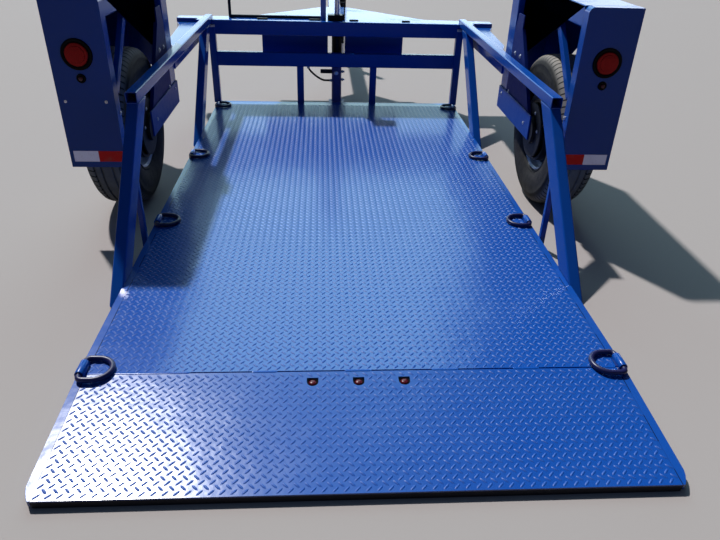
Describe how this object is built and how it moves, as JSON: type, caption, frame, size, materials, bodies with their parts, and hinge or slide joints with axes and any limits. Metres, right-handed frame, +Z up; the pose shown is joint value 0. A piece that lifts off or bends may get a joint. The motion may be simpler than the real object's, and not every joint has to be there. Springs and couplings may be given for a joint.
{
  "type": "step deck trailer, single axle, whose deck lowers flat onto the ground",
  "caption": "Ground-loading step deck trailer: tread plate deck in a basket of rails, wheel boxes outboard, tongue with jack.",
  "frame": {"origin": "centre of the bounding box on the ground", "axes": "+Z up, +Y forwards to the hitch, +X to the right"},
  "size_m": [2.544, 5.886, 1.076],
  "materials": {
    "blue_paint": "gloss",
    "black_paint": "satin",
    "tyre_rubber": "matte",
    "rim_paint": "satin",
    "red_lens": "gloss",
    "hard_chrome": "polished",
    "zinc": "satin",
    "hose_rubber": "matte"
  },
  "bodies": {
    "chassis": {"fender_right": "blue_paint", "fender_left": "blue_paint", "tail_panel_right": "blue_paint", "tail_panel_left": "blue_paint", "front_columns": "blue_paint", "lower_beams": "blue_paint", "spring_frames": "blue_paint", "box_stays": "blue_paint", "suspension_arm_right": "black_paint", "suspension_arm_left": "black_paint", "tail_lamps": "red_lens", "marker_lamps": "red_lens", "crossmember": "blue_paint", "tongue_plate": "blue_paint", "drawbars": "blue_paint", "tongue_beam": "blue_paint", "corner_arms": "blue_paint", "store_boxes": "blue_paint", "lift_mast": "blue_paint", "lift_rod": "hard_chrome", "lock_bar": "black_paint", "latch_handle": "black_paint", "deck_stops": "black_paint", "coupler": "black_paint", "jack_tube": "black_paint", "jack_leg": "zinc"},
    "deck": {"deck_plate": "blue_paint", "approach_plate": "blue_paint", "edge_bars": "blue_paint", "rear_lip": "black_paint", "deck_side_beams": "blue_paint", "deck_crossmembers": "blue_paint", "id_lamps": "red_lens", "header_top_tube": "blue_paint", "header_mid_tube": "blue_paint", "header_posts": "blue_paint", "rail_right": "blue_paint", "rail_left": "blue_paint", "front_braces": "blue_paint", "rear_posts": "blue_paint", "rear_struts": "blue_paint", "tie_rings": "blue_paint", "ring_clips": "blue_paint", "lift_barrel": "blue_paint", "lift_hose": "hose_rubber"},
    "wheel_right": {"tyre_right": "tyre_rubber", "rim_right": "rim_paint", "drum_right": "black_paint"},
    "wheel_left": {"tyre_left": "tyre_rubber", "rim_left": "rim_paint", "drum_left": "black_paint"}
  },
  "joints": [
    {"name": "deck_lift", "type": "slide", "parent": "chassis", "child": "deck", "axis": [0, 0, 1], "range_m": [0, 0.33]},
    {"name": "wheel_right_spin", "type": "hinge", "parent": "chassis", "child": "wheel_right", "pos_m": [1.135, -0.876, 0.391], "axis": [1, 0, 0], "continuous": true},
    {"name": "wheel_left_spin", "type": "hinge", "parent": "chassis", "child": "wheel_left", "pos_m": [-1.135, -0.876, 0.391], "axis": [1, 0, 0], "continuous": true}
  ]
}
